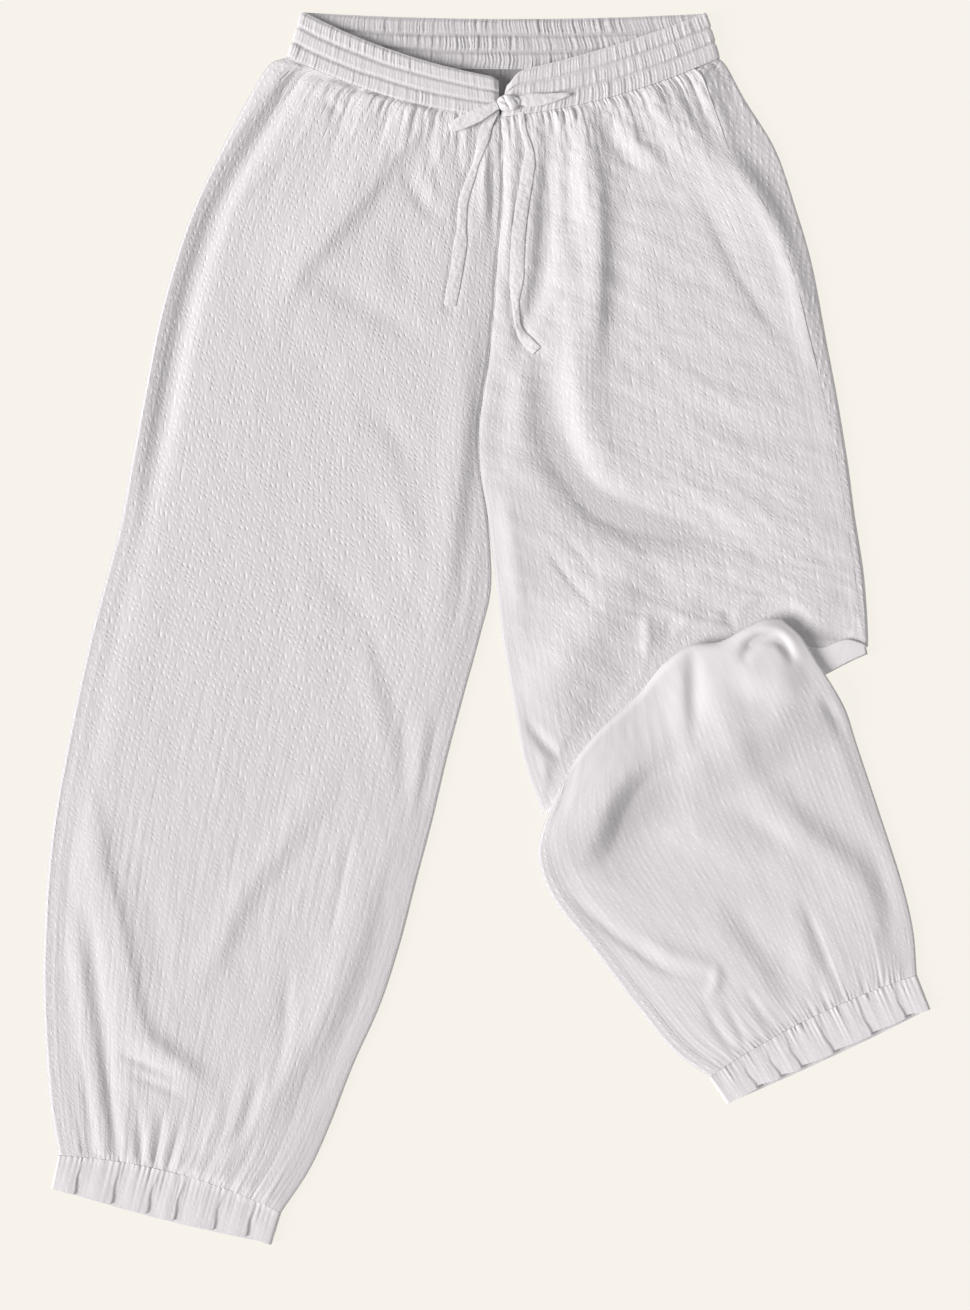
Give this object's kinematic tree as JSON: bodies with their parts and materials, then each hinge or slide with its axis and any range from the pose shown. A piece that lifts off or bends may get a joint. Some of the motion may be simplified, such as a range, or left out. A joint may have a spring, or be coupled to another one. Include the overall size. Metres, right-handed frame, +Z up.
{
  "type": "pyjama pants",
  "caption": "Loose seersucker pyjama pants laid flat, gathered waistband with a tied drawstring, frilled elastic ankles, one leg folded at the knee.",
  "frame": {"origin": "on the surface that the pants lie on, at the middle of the garment's length and width", "axes": "+Y towards the waist along the garment's length, +X to the right of someone looking down at the front, +Z up from the surface"},
  "size_m": [0.7278, 1.01, 0.0225],
  "materials": {
    "seersucker": "white cotton seersucker, matt, puckered between flat stripes",
    "drawstring_tape": "smooth white cotton tape, folded and sewn flat"
  },
  "bodies": {
    "root": {"front_right": "seersucker", "back_right": "seersucker", "front_left": "seersucker", "back_left": "seersucker", "knee_fold_left": "seersucker", "shin_front_left": "seersucker", "shin_back_left": "seersucker", "waistband_front_right": "seersucker", "waistband_front_left": "seersucker", "waistband_back": "seersucker", "frill_front_right": "seersucker", "frill_back_right": "seersucker", "frill_front_left": "seersucker", "frill_back_left": "seersucker", "drawstring_knot": "drawstring_tape", "drawstring_loop_right": "drawstring_tape", "drawstring_loop_left": "drawstring_tape", "drawstring_tail_right": "drawstring_tape", "drawstring_tail_left": "drawstring_tape"}
  },
  "joints": []
}
